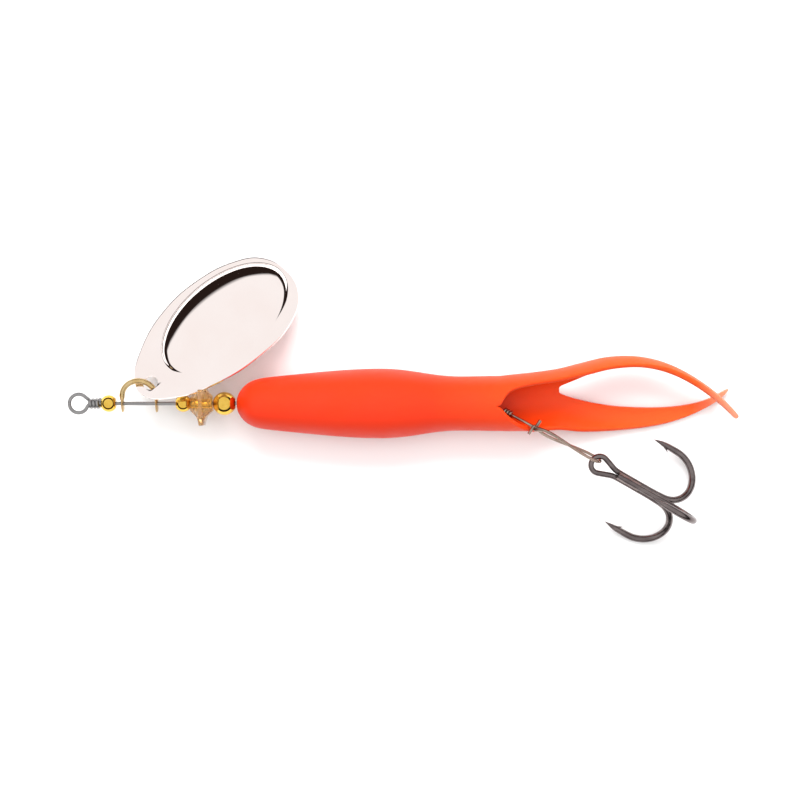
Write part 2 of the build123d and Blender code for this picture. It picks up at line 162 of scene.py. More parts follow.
drawn_steel = coated(
    "drawn_stainless", ((0.26, 0.25, 0.25), (0.42, 0.41, 0.41)), 1, (0.22, 0.38), 900, stretch=(0.06, 1, 1)
)
paint(shaft, drawn_steel)


# ---- beads --------------------------------------------------------------------------------------------
# Three hollow brass balls plated in bright gold, loose on the shaft. The turned shapes are the frame's
# own, so they only need their finish.
bright_gold = coated(
    "bright_gold_plate", ((0.76, 0.45, 0.06), (0.88, 0.58, 0.12)), 1, (0.06, 0.14), 700, bump=0.05
)
for bead in ("front_bead", "middle_bead", "rear_bead"):
    paint(nodes[bead], bright_gold)


# ---- clevis -------------------------------------------------------------------------------------------
# Brass wire bent to a U, its ends flattened to round ears with a hole for the shaft. The arc is spun
# from a disc, and the ears are drawn out of its two ends.
CLEVIS_X = 12.2
ARC_RADIUS = 3.4
ARC_HEIGHT = 1.565
CLEVIS_WIRE = 0.57
CLEVIS_LEAN = math.radians(25)
EAR_STATIONS = ((1.0, 0.85, 1.3), (0.7, 0.52, 2.6), (-0.3, 0.52, 3.3), (-1.1, 0.52, 2.9), (-1.75, 0.52, 1.6))
ARC_STEPS = 24
FACE_TOLERANCE = 1e-6

bpy.ops.object.select_all(action="DESELECT")
bpy.ops.mesh.primitive_circle_add(
    vertices=16,
    radius=CLEVIS_WIRE * MM,
    fill_type="NGON",
    location=((CLEVIS_X + ARC_RADIUS) * MM, ARC_HEIGHT * MM, 0),
    rotation=(math.pi / 2, 0, 0),
)
clevis = bpy.context.object
clevis.name = "clevis_bent"
bpy.ops.object.transform_apply()
bpy.ops.object.mode_set(mode="EDIT")
bpy.ops.mesh.select_all(action="SELECT")
bpy.ops.mesh.spin(
    steps=ARC_STEPS,
    angle=-math.pi,
    center=(CLEVIS_X * MM, ARC_HEIGHT * MM, 0),
    axis=(0, 0, 1),
    use_auto_merge=False,
)
bpy.ops.object.mode_set(mode="OBJECT")
if min(v.co.x for v in clevis.data.vertices) > (CLEVIS_X - 1) * MM:
    raise SystemExit("the clevis arc was spun the wrong way")


def shape_ear(side):
    """Draws one end of the arc down into a flat round ear, station by station."""
    end_x = (CLEVIS_X + side * ARC_RADIUS) * MM
    bpy.ops.object.mode_set(mode="EDIT")
    bpy.ops.mesh.select_mode(type="FACE")
    bpy.ops.mesh.select_all(action="DESELECT")
    bpy.ops.object.mode_set(mode="OBJECT")
    for face in clevis.data.polygons:
        on_end = abs(face.center.y - ARC_HEIGHT * MM) < FACE_TOLERANCE and abs(face.normal.y) > 0.9
        face.select = on_end and abs(face.center.x - end_x) < 1e-4
    bpy.ops.object.mode_set(mode="EDIT")
    height = ARC_HEIGHT
    wide = 2 * CLEVIS_WIRE
    thick = 2 * CLEVIS_WIRE
    for ear_height, ear_thick, ear_wide in EAR_STATIONS:
        bpy.ops.mesh.extrude_region_move(TRANSFORM_OT_translate={"value": (0, (ear_height - height) * MM, 0)})
        bpy.ops.transform.resize(
            value=(ear_thick / thick, 1, ear_wide / wide), center_override=(end_x, ear_height * MM, 0)
        )
        height, thick, wide = ear_height, ear_thick, ear_wide
    bpy.ops.mesh.select_mode(type="VERT")
    bpy.ops.object.mode_set(mode="OBJECT")


select_only(clevis)
shape_ear(-1)
shape_ear(1)
bpy.ops.object.mode_set(mode="EDIT")
bpy.ops.mesh.select_all(action="SELECT")
bpy.ops.mesh.remove_doubles(threshold=FACE_TOLERANCE)
bpy.ops.mesh.normals_make_consistent(inside=False)
bpy.ops.object.mode_set(mode="OBJECT")


def subdivide(piece, levels):
    rounding = piece.modifiers.new("rounding", "SUBSURF")
    rounding.levels = levels
    rounding.render_levels = levels
    bpy.ops.object.modifier_apply(modifier=rounding.name)


subdivide(clevis, 2)
clevis.rotation_euler = (CLEVIS_LEAN, 0, 0)
bpy.ops.object.transform_apply()
bpy.ops.object.shade_smooth()
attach(clevis, "clevis")
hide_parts("clevis")
satin_brass = coated(
    "satin_brass", ((0.62, 0.42, 0.18), (0.78, 0.58, 0.30)), 1, (0.20, 0.34), 500, stretch=(1, 0.3, 1)
)
paint(clevis, satin_brass)


# ---- blade --------------------------------------------------------------------------------------------
# A pressed egg-shaped sheet, polished and plated in rose copper: a flat rim, a short steep wall and a
# shallow dish. It is drawn flat about the clevis wire and then laid on the hub and the table.
RIM = (
    (-2.5, -0.4), (-1.6, 3.0), (3.7, 7.5), (12.4, 10.8), (21.8, 11.1), (29.7, 8.9), (34.0, 5.7),
    (35.8, -0.2), (34.1, -6.2), (29.0, -9.8), (20.6, -10.9), (8.4, -8.8), (1.9, -5.6),
)
RIM_STEPS = 8
SHEET = 0.6
DISH_MIDDLE = (20.0, 0.35)
DISH_RINGS = (
    (15.35, 9.65, 0.0),
    (15.0, 9.3, 0.0),
    (14.75, 9.05, 0.12),
    (14.45, 8.75, 0.50),
    (14.1, 8.42, 0.84),
    (13.5, 7.9, 1.04),
    (12.7, 7.25, 1.22),
    (11.8, 6.55, 1.38),
    (10.6, 5.75, 1.52),
    (8.2, 4.4, 1.66),
    (5.2, 2.8, 1.75),
    (2.4, 1.3, 1.79),
)
RIM_EDGE = 0.97
SHEET_EDGE = 0.08
SHEET_EDGE_ANGLE = 50
HOLE_MIDDLE = (0.33, 0.28)
HOLE_RADIUS = 1.5
PUNCH_LENGTH = 4
BLADE_SLOPE_X = 0.1365
BLADE_SLOPE_Y = -0.418
BLADE_TURN = math.radians(41.6)
WIRE_SPOT_ANGLE = math.radians(45)

bpy.ops.object.select_all(action="DESELECT")
bpy.ops.curve.primitive_bezier_circle_add(location=(0, 0, 0))
blade = bpy.context.object
blade.name = "blade_pressed"
outline = blade.data.splines[0]
outline.bezier_points.add(len(RIM) - len(outline.bezier_points))
for knot, spot in zip(outline.bezier_points, RIM):
    knot.handle_left_type = "AUTO"
    knot.handle_right_type = "AUTO"
    knot.co = (spot[0] * MM, spot[1] * MM, 0)
outline.resolution_u = RIM_STEPS
blade.data.dimensions = "3D"
bpy.ops.object.convert(target="MESH")
rim_count = len(blade.data.vertices)
rim_spots = [corner.co.xy / MM for corner in blade.data.vertices]
dish_turns = []
for spot in rim_spots:
    from_middle = spot - Vector(DISH_MIDDLE)
    dish_turns.append(math.atan2(from_middle.y / DISH_RINGS[0][1], from_middle.x / DISH_RINGS[0][0]))
bpy.ops.object.mode_set(mode="EDIT")
bpy.ops.mesh.select_all(action="SELECT")
bpy.ops.mesh.extrude_edges_move()
bpy.ops.object.mode_set(mode="OBJECT")
for corner, spot in zip(blade.data.vertices[-rim_count:], rim_spots):
    flat_spot = Vector(DISH_MIDDLE).lerp(spot, RIM_EDGE)
    corner.co = (flat_spot.x * MM, flat_spot.y * MM, 0)
for half_length, half_width, rise in DISH_RINGS:
    bpy.ops.object.mode_set(mode="EDIT")
    bpy.ops.mesh.extrude_edges_move()
    bpy.ops.object.mode_set(mode="OBJECT")
    inner_corners = blade.data.vertices[-rim_count:]
    for corner, turn in zip(inner_corners, dish_turns):
        along = DISH_MIDDLE[0] + half_length * math.cos(turn)
        across = DISH_MIDDLE[1] + half_width * math.sin(turn)
        corner.co = (along * MM, across * MM, rise * MM)
bpy.ops.object.mode_set(mode="EDIT")
bpy.ops.mesh.edge_face_add()
bpy.ops.mesh.select_all(action="SELECT")
bpy.ops.mesh.normals_make_consistent(inside=False)
bpy.ops.object.mode_set(mode="OBJECT")
if blade.data.polygons[-1].normal.z < 0:
    bpy.ops.object.mode_set(mode="EDIT")
    bpy.ops.mesh.flip_normals()
    bpy.ops.object.mode_set(mode="OBJECT")
wall = blade.modifiers.new("sheet", "SOLIDIFY")
wall.thickness = SHEET * MM
wall.offset = 0
bpy.ops.object.modifier_apply(modifier=wall.name)


def cut_hole(piece, middle, radius, length, way, sides):
    """Cuts a round hole through a piece with a cylinder at middle, in millimetres, turned to face way."""
    bpy.ops.object.select_all(action="DESELECT")
    bpy.ops.mesh.primitive_cylinder_add(
        vertices=sides,
        radius=radius * MM,
        depth=length * MM,
        location=Vector(middle) * MM,
        rotation=way,
    )
    cutter = bpy.context.object
    select_only(piece)
    hole = piece.modifiers.new("hole", "BOOLEAN")
    hole.operation = "DIFFERENCE"
    hole.object = cutter
    bpy.ops.object.modifier_apply(modifier=hole.name)
    bpy.data.objects.remove(cutter)


def soften_edges(piece, width, sharper_than, smooth_below):
    """Rounds the edges sharper than an angle, and shades the flatter ones smooth. Angles in degrees."""
    edge = piece.modifiers.new("edge", "BEVEL")
    edge.width = width * MM
    edge.segments = 2
    edge.limit_method = "ANGLE"
    edge.angle_limit = math.radians(sharper_than)
    bpy.ops.object.modifier_apply(modifier=edge.name)
    bpy.ops.object.shade_smooth_by_angle(angle=math.radians(smooth_below))


cut_hole(blade, (*HOLE_MIDDLE, 0), HOLE_RADIUS, PUNCH_LENGTH, (0, 0, 0), 48)
soften_edges(blade, SHEET_EDGE, SHEET_EDGE_ANGLE, 40)

wire_height = ARC_HEIGHT + ARC_RADIUS * math.cos(WIRE_SPOT_ANGLE)
wire_spot = Vector(
    (
        CLEVIS_X + ARC_RADIUS * math.sin(WIRE_SPOT_ANGLE),
        wire_height * math.cos(CLEVIS_LEAN),
        wire_height * math.sin(CLEVIS_LEAN),
    )
)
length_way = Vector(
    (
        math.cos(BLADE_TURN),
        math.sin(BLADE_TURN),
        BLADE_SLOPE_X * math.cos(BLADE_TURN) + BLADE_SLOPE_Y * math.sin(BLADE_TURN),
    )
).normalized()
face_way = Vector((-BLADE_SLOPE_X, -BLADE_SLOPE_Y, 1)).normalized()
width_way = face_way.cross(length_way)
blade_tilt = Matrix((length_way, width_way, face_way)).transposed().to_4x4()
blade.matrix_world = Matrix.Translation(wire_spot * MM) @ blade_tilt
bpy.ops.object.transform_apply()
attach(blade, "blade")
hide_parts("blade")
rose_mirror = coated(
    "rose_copper_mirror", ((0.95, 0.845, 0.81), (0.97, 0.88, 0.85)), 1, (0.02, 0.05), 120, bump=0.01
)
paint(blade, rose_mirror)


# ---- hub and bushing ----------------------------------------------------------------------------------
# A clear amber moulding pressed on a short brass tube: a boss that swells to four broad fins, each thin
# along the shaft at its tip. It is drawn out section by section, then bored for the shaft.
HUB_MIDDLE_X = 24.68
HUB_BORE = 0.43
HUB_SECTIONS = ((-2.2, 1.46, 1.3), (-0.95, 2.6, 2.1), (-0.6, 3.4, 2.5), (-0.36, 4.4, 2.75))
HUB_EDGE = 0.1
HUB_EDGE_ANGLE = 25
HUB_CORNERS = 12
DRILL_LENGTH = 8
AMBER_CLEARNESS = 0.85
AMBER_BENDING = 1.45


def hub_section(reach, half_width):
    """The twelve corners of a cross with arms of this reach and half width, as (y, z) points."""
    corners = []
    for quarter in range(4):
        turn = Matrix.Rotation(math.radians(90 * quarter), 2)
        for corner in ((reach, -half_width), (reach, half_width), (half_width, half_width)):
            corners.append(turn @ Vector(corner))
    return corners


def place_section(corners, x, reach, half_width):
    for corner, spot in zip(corners, hub_section(reach, half_width)):
        corner.co = ((HUB_MIDDLE_X + x) * MM, spot.x * MM, spot.y * MM)


hub_sections = list(HUB_SECTIONS) + [(-x, reach, half_width) for x, reach, half_width in HUB_SECTIONS[::-1]]
bpy.ops.object.select_all(action="DESELECT")
bpy.ops.mesh.primitive_circle_add(vertices=HUB_CORNERS, radius=1, fill_type="NGON", location=(0, 0, 0))
hub = bpy.context.object
hub.name = "finned_hub_moulded"
place_section(hub.data.vertices, *hub_sections[0])
bpy.ops.object.mode_set(mode="EDIT")
bpy.ops.mesh.select_mode(type="VERT")
bpy.ops.mesh.select_all(action="SELECT")
bpy.ops.object.mode_set(mode="OBJECT")
for section in hub_sections[1:]:
    bpy.ops.object.mode_set(mode="EDIT")
    bpy.ops.mesh.extrude_region_move()
    bpy.ops.object.mode_set(mode="OBJECT")
    place_section(hub.data.vertices[-HUB_CORNERS:], *section)
bpy.ops.object.mode_set(mode="EDIT")
bpy.ops.mesh.select_all(action="SELECT")
bpy.ops.mesh.normals_make_consistent(inside=False)
bpy.ops.object.mode_set(mode="OBJECT")
cut_hole(hub, (HUB_MIDDLE_X, 0, 0), HUB_BORE, DRILL_LENGTH, (0, math.pi / 2, 0), 24)
soften_edges(hub, HUB_EDGE, HUB_EDGE_ANGLE, 30)
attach(hub, "hub")
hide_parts("finned_hub")
clear_amber = coated(
    "clear_amber", ((0.80, 0.50, 0.22), (0.86, 0.57, 0.28)), 0, (0.06, 0.12), 300, bump=0.03
)
amber_shader = clear_amber.node_tree.nodes["Principled BSDF"]
amber_shader.inputs["Transmission Weight"].default_value = AMBER_CLEARNESS
amber_shader.inputs["IOR"].default_value = AMBER_BENDING
paint(hub, clear_amber)
tube_brass = coated("bushing_brass", ((0.90, 0.58, 0.10), (1.0, 0.74, 0.18)), 1, (0.12, 0.22), 400)
paint(nodes["hub_bushing"], tube_brass)
paint(nodes["body_weight"], tube_brass)


# ---- rubber sleeve ------------------------------------------------------------------------------------
# Dip-moulded soft latex, stretched over the brass weight. Behind the weight the tube is slit open on
# top, and from a notch it runs on as two strips that curl across each other. It is one sheet, laid out
# ring by ring and then given its wall, because its slit edges run slantwise through the rings.
TUBE_PROFILE = (
    (31.66, 0.75), (31.7, 1.2), (31.95, 1.95), (32.5, 2.85), (33.3, 3.75), (34.4, 4.5), (36.2, 5.12),
    (39.0, 5.42), (42.5, 5.76), (46.9, 6.25), (52.5, 6.72), (56.2, 6.95), (59.9, 7.05), (62.5, 7.0),
    (65.4, 6.72), (68.0, 6.34), (71.0, 5.82), (73.9, 5.5), (76.5, 5.44), (80.3, 5.5), (83.2, 5.58),
)
SLIT_RINGS = (
    (84.1, 0.00, 5.56, -262, 96),
    (84.5, 0.02, 5.58, -254, 86),
    (85.3, 0.05, 5.66, -243, 69),
    (86.6, 0.09, 5.75, -228, 60),
    (88.5, 0.14, 5.87, -205, 54),
    (90.5, 0.22, 6.0, -178, 50),
    (92.6, 0.32, 6.16, -168, 48),
    (94.8, 0.46, 6.34, -160, 47.5),
    (96.6, 0.62, 6.5, -157, 47),
)
UPPER_RINGS = (
    (98.6, 7.7, -0.15, 13, 6.3, -57, 48),
    (101, 8.3, -0.4, 12, 6.0, -52, 51),
    (103.5, 8.95, -0.8, 9, 5.7, -51, 52),
    (106, 9.5, -1.1, 6, 5.5, -50, 52),
    (111, 9.8, -1.6, -3, 5.5, -46, 49),
    (116, 9.0, -1.9, -17, 5.4, -38, 41),
    (121, 7.0, -2.1, -28, 5.2, -28, 32),
    (126.4, 3.6, -2.3, -37, 5.0, -24, 28),
    (129.7, 0.7, -2.45, -43, 5.0, -19, 23),
    (131.8, -1.5, -2.6, -48, 5.0, -13, 15),
    (132.7, -2.7, -2.65, -52, 5.0, -5, 6),
)
LOWER_RINGS = (
    (99.0, -0.25, -0.5, -3, 6.15, -152, -75),
    (102, -1.2, -0.95, -4, 5.75, -146, -73),
    (107, -2.4, -1.65, -2, 5.3, -129, -68),
    (112, -2.9, -1.9, 1, 5.2, -118, -65),
    (117.4, -2.75, -1.95, 6, 5.3, -110, -68),
    (122, -1.95, -1.95, 15, 5.3, -103, -73),
    (126, -0.6, -1.95, 23, 5.2, -98, -79),
    (128.8, 0.9, -1.95, 29, 5.1, -96.5, -81),
    (130.4, 2.1, -1.95, 37, 5.0, -94.5, -83.5),
    (131.2, 2.9, -1.95, 42, 5.0, -91.5, -87.5),
)
LOWER_COLUMNS = 14
NOTCH_COLUMNS = 3
UPPER_COLUMNS = 18
NOTCH_LOW = -77
NOTCH_HIGH = -59
LATEX_WALL = 0.95
LATEX_FADE = (70, 132.5)
FADE_SHARE = 0.75
FADE_TINTS = (
    (0.0, (0.77, 0.032, 0.003, 1)),
    (0.35, (0.86, 0.070, 0.006, 1)),
    (0.86, (0.90, 0.13, 0.016, 1)),
    (1.0, (0.86, 0.42, 0.27, 1)),
)
SHUT_TUBE = (-263, 97)
SLIT_OPENS_AT = -157
SLIT_OPENS_OVER = 105
NOTCH_LOW_SHIFT = 18
NOTCH_HIGH_SHIFT = 12
SEAM_GAP = 0.02
MIX_COLOUR_A = 6
MIX_COLOUR_B = 7
MIX_COLOUR_OUT = 2

latex_points = []
latex_faces = []


def ring_point(centre, heading, radius, angle):
    """A point of a ring that faces along heading, at angle from its outward side towards the top."""
    out = radius * math.cos(angle)
    return (
        (centre[0] - out * math.sin(heading)) * MM,
        (centre[1] + out * math.cos(heading)) * MM,
        (centre[2] + radius * math.sin(angle)) * MM,
    )


def spread(start, end, count):
    return [start + (end - start) * step / count for step in range(count + 1)]


def add_ring(centre, heading, radius, angles):
    first = len(latex_points)
    for angle in angles:
        latex_points.append(ring_point(centre, heading, radius, math.radians(angle)))
    return list(range(first, first + len(angles)))


def join_rings(near, far):
    for column in range(len(near) - 1):
        latex_faces.append((near[column], near[column + 1], far[column + 1], far[column]))


def tube_angles(low, high):
    """The angles of one ring's points. The notch's columns slant back as the slit closes over the tube."""
    shut = max(0.0, min(1.0, (SLIT_OPENS_AT - low) / SLIT_OPENS_OVER))
    notch_low = NOTCH_LOW - NOTCH_LOW_SHIFT * shut
    notch_high = NOTCH_HIGH - NOTCH_HIGH_SHIFT * shut
    return (
        spread(low, notch_low, LOWER_COLUMNS)[:-1]
        + spread(notch_low, notch_high, NOTCH_COLUMNS)[:-1]
        + spread(notch_high, high, UPPER_COLUMNS)
    )


last_ring = None
for x, radius in TUBE_PROFILE:
    ring = add_ring((x, 0, 0), 0, radius, tube_angles(*SHUT_TUBE))
    if last_ring:
        join_rings(last_ring, ring)
    last_ring = ring
for x, y, radius, low, high in SLIT_RINGS:
    ring = add_ring((x, y, 0), 0, radius, tube_angles(low, high))
    join_rings(last_ring, ring)
    last_ring = ring
notch_ring = last_ring
last_ring = notch_ring[LOWER_COLUMNS + NOTCH_COLUMNS:]
for x, y, z, heading, radius, low, high in UPPER_RINGS:
    turned = math.radians(heading)
    centre = (x + radius * math.sin(turned), y - radius * math.cos(turned), z)
    ring = add_ring(centre, turned, radius, spread(low, high, UPPER_COLUMNS))
    join_rings(last_ring, ring)
    last_ring = ring
last_ring = notch_ring[: LOWER_COLUMNS + 1]
for x, y, z, heading, radius, low, high in LOWER_RINGS:
    ring = add_ring((x, y, z), math.radians(heading), radius, spread(low, high, LOWER_COLUMNS))
    join_rings(last_ring, ring)
    last_ring = ring

latex = bpy.data.meshes.new("rubber_sleeve_moulded")
latex.from_pydata(latex_points, [], latex_faces)
sleeve = bpy.data.objects.new("rubber_sleeve_moulded", latex)
bpy.context.collection.objects.link(sleeve)
select_only(sleeve)
bpy.ops.object.mode_set(mode="EDIT")
bpy.ops.mesh.select_all(action="SELECT")
bpy.ops.mesh.remove_doubles(threshold=SEAM_GAP * MM)
bpy.ops.mesh.normals_make_consistent(inside=False)
bpy.ops.object.mode_set(mode="OBJECT")
belly = max(sleeve.data.polygons, key=lambda face: face.center.y)
if belly.normal.y < 0:
    bpy.ops.object.mode_set(mode="EDIT")
    bpy.ops.mesh.flip_normals()
    bpy.ops.object.mode_set(mode="OBJECT")
subdivide(sleeve, 1)
wall = sleeve.modifiers.new("wall", "SOLIDIFY")
wall.thickness = LATEX_WALL * MM
wall.offset = -1
bpy.ops.object.modifier_apply(modifier=wall.name)
subdivide(sleeve, 1)
bpy.ops.object.shade_smooth()
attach(sleeve, "body")
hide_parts("rubber_sleeve")


def soft_latex():
    """Red-orange latex: dull and faintly blotched, and paler along the thin strips."""
    finish = coated(
        "orange_latex", ((0.74, 0.028, 0.002), (0.80, 0.036, 0.003)), 0, (0.42, 0.56), 160, bump=0.12
    )
    tree = finish.node_tree
    shader = tree.nodes["Principled BSDF"]
    base = shader.inputs["Base Color"].links[0].from_socket
    place = tree.nodes.new("ShaderNodeTexCoord")
    parts = tree.nodes.new("ShaderNodeSeparateXYZ")
    tree.links.new(place.outputs["Object"], parts.inputs["Vector"])
    along = tree.nodes.new("ShaderNodeMapRange")
    along.inputs["From Min"].default_value = LATEX_FADE[0] * MM
    along.inputs["From Max"].default_value = LATEX_FADE[1] * MM
    tree.links.new(parts.outputs["X"], along.inputs["Value"])
    fade = tree.nodes.new("ShaderNodeValToRGB")
    for _ in FADE_TINTS[2:]:
        fade.color_ramp.elements.new(0.5)
    for element, (position, colour) in zip(fade.color_ramp.elements, FADE_TINTS):
        element.position = position
        element.color = colour
    tree.links.new(along.outputs["Result"], fade.inputs["Fac"])
    blend = tree.nodes.new("ShaderNodeMix")
    blend.data_type = "RGBA"
    blend.inputs["Factor"].default_value = FADE_SHARE
    tree.links.new(base, blend.inputs[MIX_COLOUR_A])
    tree.links.new(fade.outputs["Color"], blend.inputs[MIX_COLOUR_B])
    tree.links.new(blend.outputs[MIX_COLOUR_OUT], shader.inputs["Base Color"])
    shader.inputs["Subsurface Weight"].default_value = 0.2
    shader.inputs["Subsurface Radius"].default_value = (1.0, 0.2, 0.08)
    shader.inputs["Subsurface Scale"].default_value = 0.001
    shader.inputs["Specular IOR Level"].default_value = 0.3
    return finish


paint(sleeve, soft_latex())


# ---- snap link ----------------------------------------------------------------------------------------
# A cross-lock snap of thin hard wire, standing on edge: an eye and wraps on the shaft's rear eye, a stem,
# a long narrow loop that holds the hook, and two ends hooked across the stem.
SNAP_WIRE = 0.31
SNAP_HEADING = math.radians(-27.7)
SNAP_RISE = math.radians(6.5)
SNAP_EYE_AT = 1.8
SNAP_EYE_RADIUS = 1.3
SNAP_END_AT = 23.5
SNAP_END_SPREAD = 0.4
LOCK_SWELL = 1.08
SNAP_END_RADIUS = 1.35
SNAP_COIL_RADIUS = 0.58
SNAP_COIL_START = 5.2
SNAP_COIL_POINTS = 40
SNAP_COIL_STEP = 0.05

snap_way = Vector(
    (
        math.cos(SNAP_HEADING) * math.cos(SNAP_RISE),
        math.sin(SNAP_HEADING) * math.cos(SNAP_RISE),
        math.sin(SNAP_RISE),
    )
)
snap_side = Vector((math.sin(SNAP_HEADING), -math.cos(SNAP_HEADING), 0))
snap_up = snap_side.cross(snap_way)


def on_snap(along, up, side):
    return Vector((REAR_EYE_X, 0, 0)) + snap_way * along + snap_up * up + snap_side * side


snap_route = []
for step in range(SNAP_COIL_POINTS):
    turn = math.radians(step * 30)
    coil = SNAP_COIL_RADIUS * math.cos(turn), SNAP_COIL_RADIUS * math.sin(turn)
    snap_route.append(on_snap(SNAP_COIL_START - SNAP_COIL_STEP * step, *coil))
snap_route.append(on_snap(3.05, 0.5, 0.15))
for step in range(19):
    turn = math.radians(25 + step * 310 / 18)
    along = SNAP_EYE_AT + SNAP_EYE_RADIUS * math.cos(turn)
    snap_route.append(on_snap(along, SNAP_EYE_RADIUS * math.sin(turn), 0))
snap_route += [on_snap(3.3, -0.1, 0), on_snap(4.5, 0, 0), on_snap(8.6, 0, 0), on_snap(10.2, 0.25, 0.05)]
snap_route += [on_snap(11.6, 1.05, -0.25), on_snap(13.4, 1.55, -0.42), on_snap(16, 1.6, -0.2)]
snap_route += [on_snap(19, 1.45, 0.15), on_snap(21.5, 1.4, 0.4)]
for step in range(13):
    turn = math.radians(90 - step * 15)
    along = SNAP_END_AT + SNAP_END_RADIUS * math.cos(turn)
    across = SNAP_END_SPREAD * math.sin(turn)
    snap_route.append(on_snap(along, SNAP_END_RADIUS * math.sin(turn), across))
snap_route += [on_snap(21.5, -1.4, -0.4), on_snap(19, -1.5, -0.15), on_snap(16, -1.6, 0.2)]
snap_route += [on_snap(13.4, -1.5, 0.42), on_snap(11.4, -0.9, 0.3), on_snap(10.6, -0.2, -0.2)]
snap_route += [on_snap(10.2, 0.45, -0.3), on_snap(9.95, 0.65, 0.1)]
snap_route += [on_snap(9.9, 0.5, 0.9), on_snap(9.8, 0.35, 1.75)]
snap = bend_wire("snap_link_bent", snap_route, SNAP_WIRE)
lock_route = [on_snap(11.9, 1.1, -0.2), on_snap(10.9, 0.75, 0.35), on_snap(10.45, 0.1, 0.45)]
lock_route += [on_snap(10.4, -0.45, 0.1), on_snap(10.5, -0.4, -0.8), on_snap(10.6, -0.25, -1.75)]
snap_lock = bend_wire("snap_lock_bent", lock_route, SNAP_WIRE * LOCK_SWELL)
select_only(snap)
snap_lock.select_set(True)
bpy.ops.object.join()
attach(snap, "snap")
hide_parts("snap_link")
warm_nickel = coated(
    "warm_nickel", ((0.30, 0.22, 0.18), (0.52, 0.41, 0.34)), 1, (0.16, 0.30), 700, stretch=(0.3, 1, 1)
)
paint(snap, warm_nickel)


# ---- treble hook --------------------------------------------------------------------------------------
# Two side hooks and the eye are bent from one wire; a third hook is brazed on top of their shanks. Each
# point is ground to a long taper and has a barb cut up on its inner side.
HOOK_WIRE = 0.59
TREBLE_EYE = Vector((103.85, -12.15, 2.45))
TREBLE_HEADING = math.radians(-29.5)
TREBLE_DROP = math.radians(12)
TREBLE_ROLL = math.radians(4)
HOOK_EYE_RADIUS = 1.72
SHANK_START = 4.2
SIDE_SHANK = 0.65
THIRD_SHANK = 0.67
BEND_AT = 14.8
BEND_SWELL = 1.2
GAP = 11.4
TAPER_FROM = 12.4
POINT_AT = 9.1
BARB_AT = 11.9
BARB_REACH = 1.0
BARB_SIZE = (0.16, 0.42, 1.35)
BARB_ROOT_DEPTH = 0.3
BARB_TIP_DEPTH = 1.25
BEND_STEPS = 18
TAPER_STEPS = 6
POINT_SHARE = 0.03
SIDE_TURN = math.radians(120)

shank_way = Vector(
    (
        math.cos(TREBLE_HEADING) * math.cos(TREBLE_DROP),
        math.sin(TREBLE_HEADING) * math.cos(TREBLE_DROP),
        -math.sin(TREBLE_DROP),
    )
)
shank_left = Vector((-math.sin(TREBLE_HEADING), math.cos(TREBLE_HEADING), 0))
shank_up = shank_way.cross(shank_left)


def on_treble(along, out, turn):
    """A point of the treble: along the shank, and out from it at a turn from the top."""
    angle = turn + TREBLE_ROLL
    return TREBLE_EYE + shank_way * along + (shank_up * math.cos(angle) - shank_left * math.sin(angle)) * out


def hook_stations(shank):
    """(along, out, share of the wire's radius) from the shank round the bend to the point."""
    stations = [(SHANK_START + 1.5, shank, 1), (9, shank, 1), (12.6, shank, 1)]
    radius = (GAP - shank) / 2
    for step in range(BEND_STEPS + 1):
        turn = math.radians(-90 + step * 180 / BEND_STEPS)
        along = BEND_AT + radius * math.cos(turn)
        out = shank + radius + radius * math.sin(turn)
        stations.append((along, out, BEND_SWELL))
    for step in range(TAPER_STEPS + 1):
        share = step / TAPER_STEPS
        along = TAPER_FROM - (TAPER_FROM - POINT_AT) * share
        stations.append((along, GAP - 0.2 * share**2, max(POINT_SHARE, 1.05 - 1.03 * share**1.4)))
    return stations


def hook_side(turn, shank):
    return [(on_treble(along, out, turn), share) for along, out, share in hook_stations(shank)]


eye_stations = []
for step in range(21):
    turn = math.radians(72 + step * 216 / 20)
    along = HOOK_EYE_RADIUS * math.cos(turn)
    across = HOOK_EYE_RADIUS * math.sin(turn)
    eye_stations.append((on_treble(along, across, -math.pi / 2), 0.97))
left_neck = [(on_treble(2.4, 1.0, -math.pi / 2), 1), (on_treble(3.6, 0.62, -math.radians(105)), 1)]
right_neck = [(on_treble(3.6, 0.62, math.radians(105)), 1), (on_treble(2.4, 1.0, math.pi / 2), 1)]
left_hook = hook_side(-SIDE_TURN, SIDE_SHANK)
right_hook = hook_side(SIDE_TURN, SIDE_SHANK)
double_stations = left_hook[::-1] + left_neck[::-1] + eye_stations + right_neck[::-1] + right_hook


def grind_barb(turn):
    """A thin wedge standing up from the inner side of the point, its tip towards the bend."""
    bpy.ops.object.select_all(action="DESELECT")
    bpy.ops.mesh.primitive_cone_add(vertices=4, radius1=1, depth=1, location=(0, 0, 0))
    barb = bpy.context.object
    root = on_treble(BARB_AT, GAP - BARB_ROOT_DEPTH, turn)
    tip = on_treble(BARB_AT + BARB_REACH, GAP - BARB_TIP_DEPTH, turn)
    way = (tip - root).normalized()
    side = shank_way.cross(on_treble(0, 1, turn) - on_treble(0, 0, turn)).normalized()
    flat = way.cross(side)
    thick, wide, tall = BARB_SIZE
    shape = Matrix((side * thick * MM, flat * wide * MM, way * tall * MM)).transposed().to_4x4()
    barb.matrix_world = Matrix.Translation((root + tip) / 2 * MM) @ shape
    bpy.ops.object.transform_apply()
    return barb


def finish_hook(name, stations, turns, node):
    spots = [spot for spot, share in stations]
    hook = bend_wire(name, spots, HOOK_WIRE, [share for spot, share in stations], 12)
    barbs = [grind_barb(turn) for turn in turns]
    select_only(hook)
    for barb in barbs:
        barb.select_set(True)
    bpy.ops.object.join()
    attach(hook, "treble")
    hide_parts(node)
    paint(hook, black_nickel)


